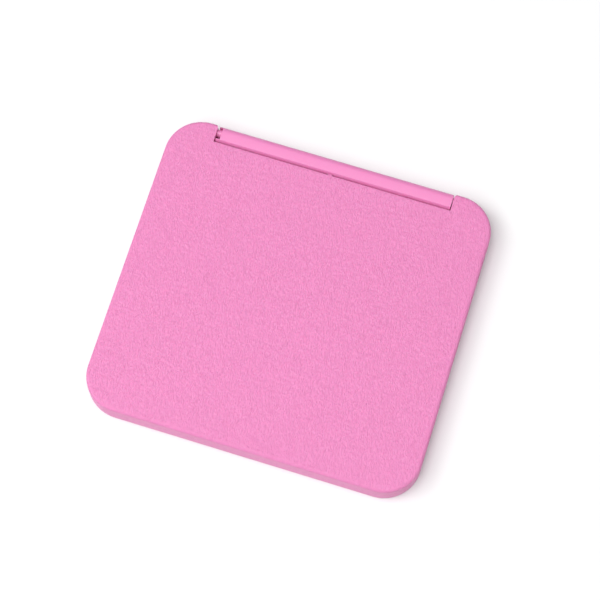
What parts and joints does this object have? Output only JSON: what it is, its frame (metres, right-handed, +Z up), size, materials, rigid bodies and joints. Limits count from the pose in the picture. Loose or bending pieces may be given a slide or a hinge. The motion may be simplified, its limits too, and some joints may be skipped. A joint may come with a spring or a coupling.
{
  "type": "powder compact",
  "caption": "Slim hinged powder compact: rounded rectangular case with a mirror in the lid, and a pan of pressed powder and a flat puff in the base.",
  "frame": {"origin": "middle of the flat underside of the closed case", "axes": "+X along the hinge edge, to the right when the case is used; +Y towards the hinge; +Z up, from the underside to the lid"},
  "size_m": [0.088, 0.0814, 0.0075],
  "materials": {
    "case_lid": "satin, fine pebble grain",
    "case_base": "smooth satin",
    "hinge_pin": "smooth",
    "insert": "polished",
    "magnet": "nickel plated",
    "adhesive": "matt",
    "pan": "bright pressed",
    "powder": "matt, embossed",
    "puff": "short velour",
    "ribbon": "satin weave",
    "label": "blank, satin",
    "mirror": "polished"
  },
  "bodies": {
    "base": {"base_shell": "case_base", "hinge_pin_left": "hinge_pin", "hinge_pin_right": "hinge_pin", "inner_deck": "insert", "base_magnet_left": "magnet", "base_magnet_right": "magnet", "pan_adhesive": "adhesive", "powder_pan": "pan", "pressed_powder": "powder", "puff": "puff", "puff_ribbon": "ribbon", "bottom_label": "label"},
    "lid": {"lid_shell": "case_lid", "mirror_adhesive": "adhesive", "mirror_glass": "mirror", "mirror_bezel": "insert", "lid_magnet_left": "magnet", "lid_magnet_right": "magnet"}
  },
  "joints": [
    {"name": "lid_hinge", "type": "hinge", "parent": "base", "child": "lid", "pos_m": [0, 0.03895, 0.00575], "axis": [-1, 0, 0], "range_deg": [0, 125]}
  ]
}
